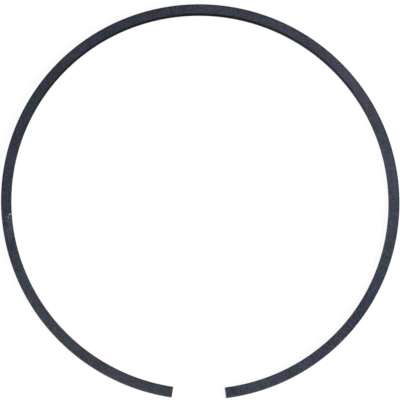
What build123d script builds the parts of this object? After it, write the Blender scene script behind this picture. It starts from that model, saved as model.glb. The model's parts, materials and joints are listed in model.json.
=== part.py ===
from build123d import *
from math import degrees, pi
import os

# Split seal ring for a piston groove, in its free state, as it lies on a bench.
# It is one piece of iron: turned as a closed hoop, cut once, and sprung open at the cut.
# Units are millimetres. Z is the ring's axis, and Z = 0 is the plane of its lower side face.
# The origin is the centre of the ring, and the cut faces -Y.

# Driving dimensions
cylinder_bore = 100.0  # bore that the ring seals when it is squeezed shut
radial_wall = 2.7  # from the inner wall to the running face
axial_width = 2.5  # from the lower side face to the upper one
shut_gap = 0.3  # left between the ends in the cylinder bore
free_gap = 13.8  # between the ends in the free state, along the middle of the wall
running_edge_break = 0.1  # at 45 degrees, on the two edges of the running face
inner_edge_break = 0.15  # at 45 degrees, on the two edges of the inner wall
end_edge_radius = 0.1  # stoned round the rim of each end face

# The iron doesn't stretch: the middle line of the wall is as long when free as when shut.
iron_length = pi * (cylinder_bore - radial_wall) - shut_gap
free_mean_radius = (iron_length + free_gap) / (2 * pi)
free_outer_radius = free_mean_radius + radial_wall / 2
free_inner_radius = free_mean_radius - radial_wall / 2
iron_angle = degrees(iron_length / free_mean_radius)
gap_angle = 360 - iron_angle
gap_direction = -90


def wall_section():
    """Section through the wall, upright on the plane of the ring's axis, its four edges broken."""
    section = Pos(free_mean_radius, axial_width / 2) * Rectangle(radial_wall, axial_width)
    inner_corners = section.vertices().group_by(Axis.X)[0]
    section = chamfer(inner_corners, inner_edge_break)
    running_corners = section.vertices().group_by(Axis.X)[-1]
    return Plane.XZ * chamfer(running_corners, running_edge_break)


def sprung_hoop():
    """The section turned about the axis, from one end of the cut round to the other."""
    first_end = Rot(0, 0, gap_direction + gap_angle / 2) * wall_section()
    return revolve(first_end, Axis.Z, iron_angle)


def stone_ends(hoop):
    """Rounds the rim of both end faces, which stand square to the wall."""
    flat_faces = hoop.faces().filter_by(GeomType.PLANE)
    end_faces = flat_faces.filter_by(Axis.Z, reverse=True)
    return fillet(end_faces.edges(), end_edge_radius)


seal_ring = stone_ends(sprung_hoop())
seal_ring.label = "seal_ring"

os.makedirs("parts", exist_ok=True)
export_step(seal_ring, "parts/seal_ring.step")

print(f"free outer radius {free_outer_radius:.4f}, free inner radius {free_inner_radius:.4f}")
print(f"free mean radius {free_mean_radius:.4f}, gap angle {gap_angle:.4f} degrees")
print(f"volume {seal_ring.volume:.2f} mm3")
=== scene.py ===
import bmesh
import bpy
import json
from math import atan2, cos, pi, radians, sin, tan
from mathutils import Matrix, Vector


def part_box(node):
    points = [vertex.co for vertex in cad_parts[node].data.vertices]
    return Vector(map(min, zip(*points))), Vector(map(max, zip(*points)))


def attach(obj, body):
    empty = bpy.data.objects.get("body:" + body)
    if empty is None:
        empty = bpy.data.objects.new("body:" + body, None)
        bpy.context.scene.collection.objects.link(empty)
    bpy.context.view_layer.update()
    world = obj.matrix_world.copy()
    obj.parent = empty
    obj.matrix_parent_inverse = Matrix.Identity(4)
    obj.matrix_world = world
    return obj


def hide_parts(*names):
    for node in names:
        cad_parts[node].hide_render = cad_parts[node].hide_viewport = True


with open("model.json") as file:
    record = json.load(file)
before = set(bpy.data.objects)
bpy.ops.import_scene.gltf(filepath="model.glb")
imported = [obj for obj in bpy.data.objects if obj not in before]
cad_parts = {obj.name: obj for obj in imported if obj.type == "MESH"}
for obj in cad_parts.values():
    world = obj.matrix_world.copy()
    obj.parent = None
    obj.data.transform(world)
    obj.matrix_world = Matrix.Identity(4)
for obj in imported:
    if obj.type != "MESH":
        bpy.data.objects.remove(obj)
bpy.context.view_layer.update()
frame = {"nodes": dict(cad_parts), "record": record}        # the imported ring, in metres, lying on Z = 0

# Split seal ring of black coated iron.
# The dictionaries are in millimetres and degrees, as on a drawing.

mm = 0.001
print("frame loaded")


# the ring's own sizes, read from the frame

def readRingSizes():
    mounts = {mount["name"]: mount["dims"] for mount in frame["record"]["mounts"]}
    boreMount, runningMount = mounts["ring_bore"], mounts["running_face"]
    low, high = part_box("seal_ring")
    width = high.z - low.z
    cadPoints = [vertex.co for vertex in frame["nodes"]["seal_ring"].data.vertices]
    return {
        "boreRadius": boreMount["r_mm"] * mm,
        "runningRadius": runningMount["r_mm"] * mm,
        "width": width,
        "boreBreak": (width - boreMount["length_mm"] * mm) / 2,
        "runningBreak": (width - runningMount["length_mm"] * mm) / 2,
        "halfGap": min(abs(atan2(point.x, -point.y)) for point in cadPoints),
    }


ringSizes = readRingSizes()
meanRadius = (ringSizes["boreRadius"] + ringSizes["runningRadius"]) / 2
middleHeight = ringSizes["width"] / 2


# node helpers: a value may be a number, a colour or vector, or another node's output

def addNode(tree, kind, place, **settings):
    node = tree.nodes.new(kind)
    node.location = place
    for name, value in settings.items():
        setattr(node, name, value)
    return node


def feed(tree, value, socket):
    if isinstance(value, (int, float)):
        socket.default_value = value
    elif isinstance(value, tuple):
        socket.default_value = (*value, 1.0) if socket.type == "RGBA" else value
    else:
        tree.links.new(value, socket)


def addMath(tree, operation, place, *values, clamp=False):
    node = addNode(tree, "ShaderNodeMath", place, operation=operation, use_clamp=clamp)
    for socket, value in zip(node.inputs, values):
        feed(tree, value, socket)
    return node.outputs[0]


def addVectorMath(tree, operation, place, *values):
    node = addNode(tree, "ShaderNodeVectorMath", place, operation=operation)
    for socket, value in zip(node.inputs, values):
        feed(tree, value, socket)
    return node.outputs


def addRange(tree, place, value, low, high, toLow=0.0, toHigh=1.0):
    node = addNode(tree, "ShaderNodeMapRange", place, interpolation_type="SMOOTHSTEP")
    for socket, given in zip(node.inputs, (value, low, high, toLow, toHigh)):
        feed(tree, given, socket)
    return node.outputs[0]


def addMix(tree, place, share, first, second, blendType="MIX"):
    node = addNode(tree, "ShaderNodeMix", place, data_type="RGBA", blend_type=blendType)
    for index, value in ((0, share), (6, first), (7, second)):   # the colour sockets come after others
        feed(tree, value, node.inputs[index])
    return node.outputs[2]


def addNoise(tree, place, position, scale, detail, roughness):
    node = addNode(tree, "ShaderNodeTexNoise", place)
    values = {"Vector": position, "Scale": scale, "Detail": detail, "Roughness": roughness}
    for name, value in values.items():
        feed(tree, value, node.inputs[name])
    return node.outputs["Fac"]


middleNoise = 0.5
usualNoise = (0.3, 0.7)   # a noise seldom leaves this span


def addSwing(tree, place, noise):
    # the noise as a swing from -1 to 1
    return addRange(tree, place, noise, *usualNoise, -1.0, 1.0)


def newGroup(name, inputs, outputs):
    group = bpy.data.node_groups.new(name, "ShaderNodeTree")
    for side, sockets in (("INPUT", inputs), ("OUTPUT", outputs)):
        for socketName, kind in sockets.items():
            group.interface.new_socket(socketName, in_out=side, socket_type="NodeSocket" + kind)
    source = addNode(group, "NodeGroupInput", (-1200, 0))
    sink = addNode(group, "NodeGroupOutput", (900, 0))
    return group, source.outputs, sink.inputs


def placeGroup(tree, group, place, **values):
    node = addNode(tree, "ShaderNodeGroup", place, node_tree=group)
    for name, value in values.items():
        feed(tree, value, node.inputs[name])
    return node.outputs


# what the finishes share: each group is built once and placed with its own values

coatPattern = {
    "patchDetail": 4.0,
    "patchRoughness": 0.6,
    "tealFrom": 0.33,     # patch noise below this is violet
    "tealFull": 0.67,
    "greyFrom": 0.45,
    "greyFull": 0.70,
    "greyMost": 0.8,
    "elsewhere": (310.0, 170.0, 50.0),  # the grey patches are read this far away
    "grainDetail": 4.0,
    "grainRoughness": 0.65,
    "driftSize": 9.09,
    "driftDetail": 2.0,
    "driftRoughness": 0.5,
    "leastTone": 0.25,
}


def buildCoatMottle():
    # the phosphate coat: fine crystal grain, soft patches of three hues, and a slow drift of tone
    pattern = coatPattern
    group, given, made = newGroup(
        "coatMottle",
        {"Position": "Vector", "Violet": "Color", "Teal": "Color", "Grey": "Color",
         "PatchScale": "Float", "GrainScale": "Float", "GrainStrength": "Float", "DriftStrength": "Float"},
        {"Color": "Color", "Grain": "Float"})
    position = given["Position"]
    shift = tuple(part * mm for part in pattern["elsewhere"])
    elsewhere = addVectorMath(group, "ADD", (-1000, 250), position, shift)["Vector"]
    patchDetail, patchRoughness = pattern["patchDetail"], pattern["patchRoughness"]
    patches = addNoise(group, (-900, 500), position, given["PatchScale"], patchDetail, patchRoughness)
    tealShare = addRange(group, (-650, 500), patches, pattern["tealFrom"], pattern["tealFull"])
    hue = addMix(group, (-400, 500), tealShare, given["Violet"], given["Teal"])
    patches = addNoise(group, (-900, 250), elsewhere, given["PatchScale"], patchDetail, patchRoughness)
    greyShare = addRange(group, (-650, 250), patches, pattern["greyFrom"], pattern["greyFull"],
                         0.0, pattern["greyMost"])
    hue = addMix(group, (-200, 400), greyShare, hue, given["Grey"])
    grain = addNoise(group, (-900, 0), position, given["GrainScale"],
                     pattern["grainDetail"], pattern["grainRoughness"])
    drift = addNoise(group, (-900, -300), position, 1 / (pattern["driftSize"] * mm),
                     pattern["driftDetail"], pattern["driftRoughness"])
    tone = 1.0
    for row, noise, strength in ((0, grain, "GrainStrength"), (-300, drift, "DriftStrength")):
        spread = addMath(group, "SUBTRACT", (-650, row), noise, middleNoise)
        gain = addMath(group, "MULTIPLY", (-450, row), spread, given[strength])
        tone = addMath(group, "ADD", (-250, row), gain, tone)
    tone = addMath(group, "MAXIMUM", (0, -100), tone, pattern["leastTone"])
    feed(group, addMix(group, (400, 200), 1.0, hue, tone, "MULTIPLY"), made["Color"])
    feed(group, grain, made["Grain"])
    return group


linePattern = {"driftSize": 4.0, "driftDetail": 2.0, "driftRoughness": 0.5, "detail": 3.0}


def buildToolLines():
    # fine marks left by a tool, repeated along one coordinate and broken up by noise
    pattern = linePattern
    group, given, made = newGroup(
        "toolLines",
        {"Position": "Vector", "Along": "Float", "Pitch": "Float", "Wander": "Float"},
        {"Height": "Float"})
    turns = addMath(group, "DIVIDE", (-900, 200), given["Along"], given["Pitch"])
    drift = addNoise(group, (-900, -100), given["Position"], 1 / (pattern["driftSize"] * mm),
                     pattern["driftDetail"], pattern["driftRoughness"])
    shift = addMath(group, "MULTIPLY", (-650, -100), drift, given["Wander"])
    lineAt = addMath(group, "ADD", (-450, 100), turns, shift)
    line = addNode(group, "ShaderNodeTexNoise", (-200, 100), noise_dimensions="1D")
    for name, value in (("W", lineAt), ("Scale", 1.0), ("Detail", pattern["detail"])):
        feed(group, value, line.inputs[name])
    feed(group, line.outputs["Fac"], made["Height"])
    return group


def buildSurfaceTone():
    # tone and roughness that follow the tool's lines and the coat's grain
    group, given, made = newGroup(
        "surfaceTone",
        {"Lines": "Float", "Grain": "Float", "Streaks": "Float", "Specks": "Float",
         "Roughness": "Float", "RoughnessSwing": "Float"},
        {"Tone": "Float", "Roughness": "Float"})
    lineSwing = addSwing(group, (-800, 200), given["Lines"])
    grainSwing = addSwing(group, (-800, -100), given["Grain"])
    streaks = addMath(group, "MULTIPLY_ADD", (-500, 200), lineSwing, given["Streaks"], 1.0)
    specks = addMath(group, "MULTIPLY_ADD", (-500, 0), grainSwing, given["Specks"], 1.0)
    feed(group, addMath(group, "MULTIPLY", (-200, 100), streaks, specks), made["Tone"])
    roughness = addMath(group, "MULTIPLY_ADD", (-500, -200), grainSwing, given["RoughnessSwing"],
                        given["Roughness"])
    feed(group, roughness, made["Roughness"])
    return group


marginCore = 0.4   # share of a margin, beside the edge, that keeps its full strength


def buildEdgeMargin():
    # 1 beside a limit of a coordinate, fading to 0 over the margin's width
    group, given, made = newGroup(
        "edgeMargin", {"Along": "Float", "Limit": "Float", "Margin": "Float"}, {"Mask": "Float"})
    past = addMath(group, "SUBTRACT", (-900, 100), given["Along"], given["Limit"])
    away = addMath(group, "ABSOLUTE", (-650, 100), past)
    share = addMath(group, "DIVIDE", (-400, 100), away, given["Margin"])
    feed(group, addRange(group, (-150, 100), share, marginCore, 1.0, 1.0, 0.0), made["Mask"])
    return group


inPlan = (1.0, 1.0, 0.0)   # a place times this is the same place seen from above


def buildSideShare():
    # 1 on the side of the ring that lies towards a direction, fading to 0 on the side away from it
    group, given, made = newGroup(
        "sideShare", {"Position": "Vector", "Towards": "Vector", "From": "Float", "To": "Float"},
        {"Mask": "Float"})
    plan = addVectorMath(group, "MULTIPLY", (-900, 100), given["Position"], inPlan)["Vector"]
    outward = addVectorMath(group, "NORMALIZE", (-700, 100), plan)["Vector"]
    facing = addVectorMath(group, "DOT_PRODUCT", (-500, 100), outward, given["Towards"])["Value"]
    feed(group, addRange(group, (-200, 100), facing, given["From"], given["To"]), made["Mask"])
    return group


coatMottle = buildCoatMottle()
toolLines = buildToolLines()
surfaceTone = buildSurfaceTone()
edgeMargin = buildEdgeMargin()
sideShare = buildSideShare()
print("shared finish groups built")


# finishes

def newMaterial(name):
    material = bpy.data.materials.new(name)
    material.use_nodes = True
    tree = material.node_tree
    tree.nodes.clear()
    output = addNode(tree, "ShaderNodeOutputMaterial", (900, 0))
    shader = addNode(tree, "ShaderNodeBsdfPrincipled", (550, 0))
    feed(tree, shader.outputs[0], output.inputs["Surface"])
    position = addNode(tree, "ShaderNodeTexCoord", (-1500, 0)).outputs["Object"]
    return material, tree, shader.inputs, position


def readHeight(tree, position):
    parts = addNode(tree, "ShaderNodeSeparateXYZ", (-1300, -300))
    feed(tree, position, parts.inputs[0])
    return parts.outputs["Z"]


def readRadius(tree, position):
    plan = addVectorMath(tree, "MULTIPLY", (-1300, -500), position, inPlan)["Vector"]
    return addVectorMath(tree, "LENGTH", (-1100, -500), plan)["Value"]


def readMark(tree, place, name):
    return addNode(tree, "ShaderNodeAttribute", place, attribute_name=name).outputs["Fac"]


def placeCoat(tree, position, finish):
    return placeGroup(
        tree, coatMottle, (-700, 300), Position=position,
        Violet=finish["violet"], Teal=finish["teal"], Grey=finish["grey"],
        PatchScale=1 / (finish["patchSize"] * mm), GrainScale=1 / (finish["grainSize"] * mm),
        GrainStrength=finish["grainStrength"], DriftStrength=finish["driftStrength"])


def placeLines(tree, position, along, finish):
    return placeGroup(tree, toolLines, (-700, -700), Position=position, Along=along,
                      Pitch=finish["linePitch"] * mm, Wander=finish["lineWander"])["Height"]


def placeSideShare(tree, place, position, side):
    # side: direction in degrees round the ring, and the cosines at which the share is 0 and 1
    direction, fromCosine, toCosine = side
    towards = (cos(radians(direction)), sin(radians(direction)), 0.0)
    return placeGroup(tree, sideShare, place, Position=position, Towards=towards,
                      From=fromCosine, To=toCosine)["Mask"]


def addBump(tree, place, height, relief, under=None):
    # relief: its depth, and how strongly it shows
    depth, strength = relief
    node = addNode(tree, "ShaderNodeBump", place)
    feed(tree, depth * mm, node.inputs["Distance"])
    feed(tree, strength, node.inputs["Strength"])
    feed(tree, height, node.inputs["Height"])
    if under is not None:
        feed(tree, under, node.inputs["Normal"])
    return node.outputs[0]


def giveSurface(tree, shader, colour, coat, lines, finish):
    # what every finish ends with: tone, roughness, gloss and relief
    surface = placeGroup(
        tree, surfaceTone, (-300, 100), Lines=lines, Grain=coat["Grain"], Streaks=finish["streaks"],
        Specks=finish["specks"], Roughness=finish["roughness"], RoughnessSwing=finish["roughnessSwing"])
    feed(tree, surface["Roughness"], shader["Roughness"])
    shader["Specular IOR Level"].default_value = finish["specular"]
    grainBump = addBump(tree, (0, -400), coat["Grain"], finish["grainRelief"])
    feed(tree, addBump(tree, (200, -400), lines, finish["lineRelief"], grainBump), shader["Normal"])
    return addMix(tree, (-100, 300), 1.0, colour, surface["Tone"], "MULTIPLY")


groundFaceFinish = {
    "violet": (0.0300, 0.0263, 0.0540),
    "teal": (0.0176, 0.0325, 0.0440),
    "grey": (0.0304, 0.0318, 0.0355),
    # the colour of the painted shade beside the edges
    "edgeShadeColour": (0.010, 0.012, 0.015),
    "patternShift": (-247.0, -335.0, 284.0),
    "patchSize": 2.0,
    "grainSize": 0.40,
    "grainStrength": 5.4,
    "driftStrength": 1.4,
    # the painted shade beside the edges: how wide, how strong and on which side of the ring
    "boreMargin": 0.50,
    "runningMargin": 0.60,
    "edgeShadeStrength": 0.45,
    "boreSide": (95.0, 0.35, 0.75),
    "runningSide": (85.0, -0.35, 0.15),
    "paintedShadeSide": (141.0, 0.70, 0.94),  # where the face is painted darker, as shade on the upper-left
    "paintedShadeStrength": 0.15,
    "roughness": 0.51,
    "roughnessSwing": 0.07,
    "specular": 0.2,
    "anisotropy": 0.7,
    "linePitch": 0.06,
    "lineWander": 3.0,
    "streaks": 0.14,
    "specks": 0.0,
    "grainRelief": (0.006, 0.5),
    "lineRelief": (0.004, 0.5),
}

markFinish = {
    "bareColour": (0.42, 0.41, 0.43),
    "bareMetallic": 0.9,
    "fleckSize": 0.14,
    "fleckDetail": 3.0,
    "fleckRoughness": 0.6,
    "fleckMiddle": 0.9,
    "fleckSwing": 0.5,
    "darkeningColour": (0.006, 0.006, 0.008),
}


def paintEdgeShade(tree, position, colour):
    # painted shade: a darker margin beside the edges, on one side of the ring for each edge
    finish = groundFaceFinish
    radius = readRadius(tree, position)
    margins = []
    for row, edge in ((-100, "bore"), (-300, "running")):
        limit, margin = ringSizes[edge + "Radius"], finish[edge + "Margin"] * mm
        beside = placeGroup(tree, edgeMargin, (-700, row), Along=radius, Limit=limit, Margin=margin)["Mask"]
        side = placeSideShare(tree, (-900, row), position, finish[edge + "Side"])
        margins.append(addMath(tree, "MULTIPLY", (-500, row), beside, side))
    nearEdge = addMath(tree, "MAXIMUM", (-350, -200), margins[0], margins[1])
    share = addMath(tree, "MULTIPLY", (-250, -200), nearEdge, finish["edgeShadeStrength"])
    return addMix(tree, (-200, 300), share, colour, finish["edgeShadeColour"])


def addMarks(tree, position, colour):
    # bare metal with flecks of coat left in it, and darkening over both: the listed dark marks, and painted
    # shade on the upper-left of the face
    finish, marks = groundFaceFinish, markFinish
    flecks = addNoise(tree, (-850, -1150), position, 1 / (marks["fleckSize"] * mm),
                      marks["fleckDetail"], marks["fleckRoughness"])
    flecks = addMath(tree, "MULTIPLY_ADD", (-550, -1150), addSwing(tree, (-700, -1150), flecks),
                     marks["fleckSwing"], marks["fleckMiddle"])
    bare = readMark(tree, (-650, -1000), "bareMetal")
    bare = addMath(tree, "MULTIPLY", (-450, -1000), bare, flecks, clamp=True)
    # painted shade: the face darker on its upper-left stretch
    paintedShadeSide = placeSideShare(tree, (-900, -1450), position, finish["paintedShadeSide"])
    paintedShade = addMath(tree, "MULTIPLY", (-650, -1450), paintedShadeSide, finish["paintedShadeStrength"])
    darkening = addMath(tree, "MAXIMUM", (-450, -1300), readMark(tree, (-650, -1300), "darkening"), paintedShade)
    scratched = addMix(tree, (0, 300), bare, colour, marks["bareColour"])
    return addMix(tree, (200, 300), darkening, scratched, marks["darkeningColour"]), bare


def makeGroundFace():
    finish = groundFaceFinish
    material, tree, shader, position = newMaterial("groundFace")
    shift = tuple(part * mm for part in finish["patternShift"])
    coat = placeCoat(tree, addVectorMath(tree, "ADD", (-900, 300), position, shift)["Vector"], finish)
    lines = placeLines(tree, position, readRadius(tree, position), finish)
    # painted shade beside the edges
    colour = paintEdgeShade(tree, position, coat["Color"])
    colour = giveSurface(tree, shader, colour, coat, lines, finish)
    colour, bare = addMarks(tree, position, colour)
    feed(tree, colour, shader["Base Color"])
    metallic = addMath(tree, "MULTIPLY", (200, 100), bare, markFinish["bareMetallic"])
    feed(tree, metallic, shader["Metallic"])
    shader["Anisotropic"].default_value = finish["anisotropy"]
    tangent = addNode(tree, "ShaderNodeTangent", (200, -700), direction_type="RADIAL", axis="Z")
    feed(tree, tangent.outputs[0], shader["Tangent"])
    return material


turnedBoreFinish = {
    # painted shade: almost black round the back, where the bore lies in shade, and painted lighter round
    # the front, where light falls on it
    "violet": (0.0060, 0.0052, 0.0075),
    "teal": (0.0048, 0.0052, 0.0075),
    "grey": (0.0055, 0.0052, 0.0060),
    "paintedLightColour": (0.0220, 0.0210, 0.0280),
    "paintedLightSide": (-70.0, -0.90, -0.55),
    "patchSize": 2.0,
    "grainSize": 0.32,
    "grainStrength": 0.6,
    "driftStrength": 0.3,
    "streaks": 0.35,
    "specks": 0.45,
    "roughness": 0.81,
    "roughnessSwing": 0.07,
    "specular": 0.02,
    "linePitch": 0.10,
    "lineWander": 1.0,
    "grainRelief": (0.006, 0.5),
    "lineRelief": (0.008, 0.7),
}

runningFaceFinish = {
    "violet": (0.026, 0.028, 0.036),
    "teal": (0.021, 0.030, 0.034),
    "grey": (0.026, 0.028, 0.030),
    "patchSize": 2.0,
    "grainSize": 0.32,
    "grainStrength": 0.6,
    "driftStrength": 0.3,
    "streaks": 0.30,
    "specks": 0.35,
    "roughness": 0.56,
    "roughnessSwing": 0.07,
    "specular": 0.2,
    "linePitch": 0.08,
    "lineWander": 1.0,
    "grainRelief": (0.006, 0.5),
    "lineRelief": (0.008, 0.7),
}

boreEdgeFinish = {
    # the breaks along the bore's edges: painted dark round the back as shade, like the bore, and painted
    # lighter round the front, where light falls on them
    "violet": (0.045, 0.043, 0.060),
    "teal": (0.038, 0.046, 0.056),
    "grey": (0.045, 0.045, 0.050),
    "paintedLightColour": (0.005, 0.005, 0.007),
    "paintedLightSide": (95.0, 0.2, 0.6),
    "patchSize": 2.0,
    "grainSize": 0.45,
    "grainStrength": 2.0,
    "driftStrength": 0.6,
    "streaks": 0.10,
    "specks": 0.0,
    "roughness": 0.6,
    "roughnessSwing": 0.05,
    "specular": 0.04,
    "linePitch": 0.08,
    "lineWander": 1.0,
    "grainRelief": (0.006, 0.5),
    "lineRelief": (0.003, 0.4),
}

cutEndFinish = {
    # the left end is painted dark as shade; the right one keeps the paler tone of the ends
    "violet": (0.075, 0.077, 0.086),
    "teal": (0.066, 0.080, 0.084),
    "grey": (0.075, 0.077, 0.078),
    "paintedLightColour": (0.016, 0.017, 0.020),
    "paintedLightSide": (180.0, -0.1, 0.1),
    "patchSize": 1.1,
    "grainSize": 0.25,
    "grainStrength": 1.6,
    "driftStrength": 0.2,
    "streaks": 0.25,
    "specks": 0.0,
    "roughness": 0.5,
    "roughnessSwing": 0.05,
    "specular": 0.4,
    "linePitch": 0.06,
    "lineWander": 1.5,
    "grainRelief": (0.003, 0.4),
    "lineRelief": (0.006, 0.6),
}


def makeUprightFace(name, finish):
    # a wall, an edge break or a cut end: its tool's lines lie one above the other
    material, tree, shader, position = newMaterial(name)
    coat = placeCoat(tree, position, finish)
    lines = placeLines(tree, position, readHeight(tree, position), finish)
    colour = coat["Color"]
    # painted light and shade: a second colour on one side of the ring makes lit and shaded copies of the
    # finish
    if "paintedLightSide" in finish:
        paintedLightShare = placeSideShare(tree, (-700, 0), position, finish["paintedLightSide"])
        colour = addMix(tree, (-300, 300), paintedLightShare, colour, finish["paintedLightColour"])
    feed(tree, giveSurface(tree, shader, colour, coat, lines, finish), shader["Base Color"])
    return material


finishes = {
    "groundFace": makeGroundFace(),
    "turnedBore": makeUprightFace("turnedBore", turnedBoreFinish),
    "boreEdge": makeUprightFace("boreEdge", boreEdgeFinish),
    "runningFace": makeUprightFace("runningFace", runningFaceFinish),
    "cutEnd": makeUprightFace("cutEnd", cutEndFinish),
}
finishOrder = list(finishes)
print("finishes made:", ", ".join(finishOrder))


# the ring: its section swept round the axis, from one end of the gap to the other

ringForm = {
    "slices": 720,
    "rimRadius": 0.1,      # stoned round each end face
    "rimSteps": 4,
    "cornerRadius": 0.03,  # takes the sharpness off the edge breaks
    "cornerSteps": 2,
    "faceSteps": 8,
    "wallSteps": 6,
    "breakSteps": 1,
    "mostCorners": 4,      # a face with more is cut into a fan
    "flatWeight": 100,     # how far the large faces lead in the shading
}

legPerInset = 2 - 2 ** 0.5   # how much a 45 degree break's leg shortens as the section shrinks


def roundCorner(before, corner, after):
    # points of a small arc that takes the place of a corner of the section
    steps = ringForm["cornerSteps"]
    intoCorner = (corner - before).normalized()
    outOfCorner = (after - corner).normalized()
    turn = intoCorner.angle(outOfCorner)
    radius = ringForm["cornerRadius"] * mm
    reach = radius * tan(turn / 2)
    start = corner - intoCorner * reach
    side = Vector((-intoCorner.y, intoCorner.x))
    if side.dot(outOfCorner) < 0:
        side = -side
    centre = start + side * radius
    points = []
    for step in range(steps + 1):
        angle = turn * step / steps
        points.append(centre - side * radius * cos(angle) + intoCorner * radius * sin(angle))
    return points


def sectionOutline(inset):
    # the wall's section as (radius, height) points with the finish of the stretch after each point
    shrink = inset * legPerInset
    boreBreak, runningBreak = ringSizes["boreBreak"] - shrink, ringSizes["runningBreak"] - shrink
    inner, outer = ringSizes["boreRadius"] + inset, ringSizes["runningRadius"] - inset
    low, high = inset, ringSizes["width"] - inset
    faceSteps, wallSteps, breakSteps = (ringForm[name + "Steps"] for name in ("face", "wall", "break"))
    corners = [
        (inner + boreBreak, high, "groundFace", faceSteps),
        (outer - runningBreak, high, "runningFace", breakSteps),
        (outer, high - runningBreak, "runningFace", wallSteps),
        (outer, low + runningBreak, "runningFace", breakSteps),
        (outer - runningBreak, low, "groundFace", faceSteps),
        (inner + boreBreak, low, "boreEdge", breakSteps),
        (inner, low + boreBreak, "turnedBore", wallSteps),
        (inner, high - boreBreak, "boreEdge", breakSteps),
    ]
    count = len(corners)
    places = [Vector(corner[:2]) for corner in corners]
    arcs = [roundCorner(places[index - 1], places[index], places[(index + 1) % count])
            for index in range(count)]
    outline = []
    for index, (_, _, finish, steps) in enumerate(corners):
        cornerFinish = finish if finish != "groundFace" else corners[index - 1][2]
        outline += [(point, cornerFinish) for point in arcs[index][:-1]]
        start, end = arcs[index][-1], arcs[(index + 1) % count][0]
        outline += [(start.lerp(end, step / steps), finish) for step in range(steps)]
    return outline


def sliceStations():
    # (angle, inset) of every slice; the section shrinks into the rounded rim at both ends
    rimRadius, rimSteps, slices = ringForm["rimRadius"] * mm, ringForm["rimSteps"], ringForm["slices"]
    rim = []
    for step in range(rimSteps + 1):
        turn = pi / 2 * step / rimSteps
        rim.append((rimRadius * (1 - cos(turn)) / meanRadius, rimRadius * (1 - sin(turn))))
    first = -pi / 2 + ringSizes["halfGap"]
    ironAngle = 2 * pi - 2 * ringSizes["halfGap"]
    rimAngle = rim[-1][0]
    stations = [(first + angle, inset) for angle, inset in rim]
    for index in range(1, slices):
        stations.append((first + rimAngle + (ironAngle - 2 * rimAngle) * index / slices, 0.0))
    stations += [(first + ironAngle - angle, inset) for angle, inset in reversed(rim)]
    return stations


def sweepRing():
    shape = bmesh.new()
    rows = []
    for angle, inset in sliceStations():
        outline = sectionOutline(inset)
        rows.append([shape.verts.new((point.x * cos(angle), point.x * sin(angle), point.y))
                     for point, _ in outline])
    stretchFinish = [finishOrder.index(finish) for _, finish in sectionOutline(0.0)]
    endFinish = finishOrder.index("cutEnd")
    count = len(stretchFinish)
    rimSteps = ringForm["rimSteps"]
    for rowIndex, (row, nextRow) in enumerate(zip(rows, rows[1:])):
        onRim = rowIndex < rimSteps or rowIndex >= len(rows) - 1 - rimSteps
        for index in range(count):
            after = (index + 1) % count
            face = shape.faces.new((row[index], row[after], nextRow[after], nextRow[index]))
            face.material_index = endFinish if onRim else stretchFinish[index]
    for row in (list(reversed(rows[0])), rows[-1]):
        shape.faces.new(row).material_index = endFinish
    bmesh.ops.recalc_face_normals(shape, faces=shape.faces)
    return shape


# marks on the upper face: the nick across the inner edge, with its strokes, and soft paler and darker
# patches

faceMarks = {
    "fineCentre": (-50.0, -5.6),   # the mesh is finer round the nick
    "fineReach": 2.6,
    "fineCuts": 7,
    "taper": 0.35,                 # how much narrower a mark is at its end
    "marks": [
        # start, end, width, depth, share of bare metal, share of darkening
        ((-49.15, -4.27), (-49.94, -4.81), 0.42, 0.09, 1.00, 0.00),   # the nick
        ((-49.39, -4.95), (-50.06, -5.92), 0.30, 0.02, 0.00, 0.75),
        ((-50.25, -5.12), (-50.58, -5.68), 0.27, 0.02, 0.38, 0.00),
        ((-49.84, -5.12), (-50.12, -5.78), 0.25, 0.02, 0.42, 0.00),
        ((-49.40, -5.40), (-49.46, -5.95), 0.75, 0.00, 0.14, 0.00),
        ((-49.60, -6.30), (-49.50, -8.40), 2.40, 0.00, 0.07, 0.00),   # rubbed paler beyond it
        ((-49.90, -9.00), (-49.50, -10.40), 3.20, 0.00, 0.04, 0.00),
        ((-6.80, -50.30), (-13.20, -49.00), 5.00, 0.00, 0.00, 0.31),  # dark beside the left end
        ((-14.00, -48.90), (-26.00, -43.60), 6.50, 0.00, 0.00, 0.18),
        ((7.20, -49.20), (8.70, -49.00), 1.60, 0.00, 0.00, 0.40),     # dark beside the right end
        ((8.80, -49.50), (8.90, -50.40), 1.80, 0.00, 0.00, 0.60),
    ],
}


def refineMesh(shape):
    centre, reach = Vector(faceMarks["fineCentre"]) * mm, faceMarks["fineReach"] * mm

    def inReach(vertex):
        return (vertex.co.xy - centre).length < reach and vertex.co.z > middleHeight

    nearEdges = [edge for edge in shape.edges if all(inReach(vertex) for vertex in edge.verts)]
    bmesh.ops.subdivide_edges(shape, edges=nearEdges, cuts=faceMarks["fineCuts"], use_grid_fill=True)
    manySided = [face for face in shape.faces if len(face.verts) > ringForm["mostCorners"]]
    bmesh.ops.poke(shape, faces=manySided)   # round the finer patch and on both ends
    return len(nearEdges)


def markShare(point, start, end, width):
    # 1 along a mark's middle, fading smoothly to 0 at its sides and ends; it narrows towards its end
    line = end - start
    along = max(0.0, min(1.0, (point - start).dot(line) / line.length_squared))
    halfWidth = width / 2 * (1 - faceMarks["taper"] * along)
    offset = (point - (start + line * along)).length
    share = max(0.0, 1 - (offset / halfWidth) ** 2)
    return share * share * (3 - 2 * share)


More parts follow.
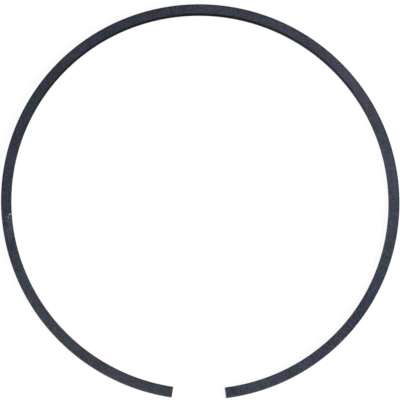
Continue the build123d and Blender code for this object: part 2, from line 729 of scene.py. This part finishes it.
def markFace(shape):
    bareLayer = shape.verts.layers.float.new("bareMetal")
    darkeningLayer = shape.verts.layers.float.new("darkening")
    marks = [(Vector(start) * mm, Vector(end) * mm, width * mm, depth * mm, bare, darkening)
             for start, end, width, depth, bare, darkening in faceMarks["marks"]]
    for vertex in shape.verts:
        if vertex.co.z < middleHeight:
            continue
        cut = 0.0
        for start, end, width, depth, bare, darkening in marks:
            share = markShare(vertex.co.xy, start, end, width)
            cut = max(cut, share * depth)
            vertex[bareLayer] = max(vertex[bareLayer], share * bare)
            vertex[darkeningLayer] = max(vertex[darkeningLayer], share * darkening)
        vertex.co.z = middleHeight + (vertex.co.z - middleHeight) * (1 - cut / middleHeight)


def makeRing():
    shape = sweepRing()
    refined = refineMesh(shape)
    markFace(shape)
    mesh = bpy.data.meshes.new("sealRing")
    shape.to_mesh(mesh)
    shape.free()
    for name in finishOrder:
        mesh.materials.append(finishes[name])
    mesh.shade_smooth()
    ring = bpy.data.objects.new("sealRing", mesh)
    bpy.context.scene.collection.objects.link(ring)
    flatFaces = ring.modifiers.new("flatFaces", "WEIGHTED_NORMAL")
    flatFaces.weight = ringForm["flatWeight"]
    print("ring swept:", len(mesh.polygons), "faces,", refined, "edges refined at the nick")
    return ring


ring = makeRing()
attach(ring, "root")
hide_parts("seal_ring")


# floor, lights and camera

def placeSeenShare(tree, place):
    # 1 for what is seen, also in a reflection or through glass, 0 for light on its way round the room
    column, row = place
    rays = addNode(tree, "ShaderNodeLightPath", place).outputs
    seen = rays["Is Camera Ray"]
    for ray in ("Is Glossy Ray", "Is Transmission Ray"):
        column += 200
        seen = addMath(tree, "MAXIMUM", (column, row), seen, rays[ray])
    return seen


floorLook = {
    "side": 6000.0,
    "drop": 0.02,
    "glow": 0.94,       # with the shadow's tone this makes white
    "shadowTone": 0.08,
    "bounce": 0.6,
}


def makeFloorMaterial():
    material = bpy.data.materials.new("floor")
    material.use_nodes = True
    tree = material.node_tree
    tree.nodes.clear()
    output = addNode(tree, "ShaderNodeOutputMaterial", (700, 0))
    seen = placeSeenShare(tree, (-700, 300))
    glow = addNode(tree, "ShaderNodeEmission", (-400, 0))
    feed(tree, floorLook["glow"], glow.inputs["Strength"])
    shadowed = addNode(tree, "ShaderNodeBsdfDiffuse", (-400, -150))
    feed(tree, (floorLook["shadowTone"],) * 3, shadowed.inputs["Color"])
    both = addNode(tree, "ShaderNodeAddShader", (-100, -50))
    feed(tree, glow.outputs[0], both.inputs[0])
    feed(tree, shadowed.outputs[0], both.inputs[1])
    bounce = addNode(tree, "ShaderNodeBsdfDiffuse", (-400, -350))
    feed(tree, (floorLook["bounce"],) * 3, bounce.inputs["Color"])
    choice = addNode(tree, "ShaderNodeMixShader", (300, 0))
    for index, value in enumerate((seen, bounce.outputs[0], both.outputs[0])):
        feed(tree, value, choice.inputs[index])
    feed(tree, choice.outputs[0], output.inputs["Surface"])
    return material


def makeFloor():
    half, low = floorLook["side"] / 2 * mm, -floorLook["drop"] * mm
    shape = bmesh.new()
    shape.faces.new([shape.verts.new((x * half, y * half, low))
                     for x, y in ((-1, -1), (1, -1), (1, 1), (-1, 1))])
    mesh = bpy.data.meshes.new("floor")
    shape.to_mesh(mesh)
    shape.free()
    mesh.materials.append(makeFloorMaterial())
    floor = bpy.data.objects.new("floor", mesh)
    bpy.context.scene.collection.objects.link(floor)


studioLight = {
    "roomLevel": 0.16,
    "lamps": [
        # name, azimuth, height above the floor in degrees, distance, side, watts, seen in gloss
        ("keyLamp", -32.0, 45.0, 600.0, 400.0, 4.4, True),
        ("sideLamp", 176.0, 5.0, 2000.0, 400.0, 80.0, False),
    ],
}


def makeRoom():
    world = bpy.data.worlds.new("room")
    bpy.context.scene.world = world
    world.use_nodes = True
    tree = world.node_tree
    tree.nodes.clear()
    output = addNode(tree, "ShaderNodeOutputWorld", (500, 0))
    seen = placeSeenShare(tree, (-700, 0))
    level = addRange(tree, (0, 0), seen, 0.0, 1.0, studioLight["roomLevel"], 1.0)
    room = addNode(tree, "ShaderNodeBackground", (250, 0))
    feed(tree, (1.0, 1.0, 1.0), room.inputs["Color"])
    feed(tree, level, room.inputs["Strength"])
    feed(tree, room.outputs[0], output.inputs["Surface"])


def makeLamps():
    for name, azimuth, rise, distance, side, watts, inGloss in studioLight["lamps"]:
        data = bpy.data.lights.new(name, "AREA")
        data.shape = "SQUARE"
        data.size = side * mm
        data.energy = watts
        lamp = bpy.data.objects.new(name, data)
        azimuth, rise = radians(azimuth), radians(rise)
        outward = Vector((cos(azimuth) * cos(rise), sin(azimuth) * cos(rise), sin(rise)))
        lamp.location = outward * distance * mm
        lamp.rotation_mode = "QUATERNION"
        lamp.rotation_quaternion = (-outward).to_track_quat("-Z", "Y")
        lamp.visible_camera = False
        lamp.visible_glossy = inGloss
        bpy.context.scene.collection.objects.link(lamp)


photoCamera = {
    "distance": 760.0,
    "tilt": 8.48,         # from straight down
    "leanTowards": -106.49,
    "roll": 0.51,
    "aim": (-0.114, 0.281, 0.0),
    "lens": 260.85,
    "sensor": 36.0,
    "nearest": 10.0,
    "farthest": 20000.0,
}


def makeCamera():
    tilt, lean, roll = (radians(photoCamera[name]) for name in ("tilt", "leanTowards", "roll"))
    outward = Vector((sin(tilt) * cos(lean), sin(tilt) * sin(lean), cos(tilt)))
    place = outward * photoCamera["distance"] * mm
    backward = (place - Vector(photoCamera["aim"]) * mm).normalized()
    upward = Vector((-sin(roll), cos(roll), 0.0))
    rightward = upward.cross(backward).normalized()
    upward = backward.cross(rightward)
    data = bpy.data.cameras.new("photoCamera")
    data.lens = photoCamera["lens"]
    data.sensor_width = photoCamera["sensor"]
    data.clip_start = photoCamera["nearest"] * mm
    data.clip_end = photoCamera["farthest"] * mm
    camera = bpy.data.objects.new("photoCamera", data)
    turn = Matrix((rightward, upward, backward)).transposed().to_4x4()
    camera.matrix_world = Matrix.Translation(place) @ turn
    bpy.context.scene.collection.objects.link(camera)
    bpy.context.scene.camera = camera


makeFloor()
makeRoom()
makeLamps()
makeCamera()
bpy.context.scene.view_settings.view_transform = "Standard"
print("floor, lights and camera in place")
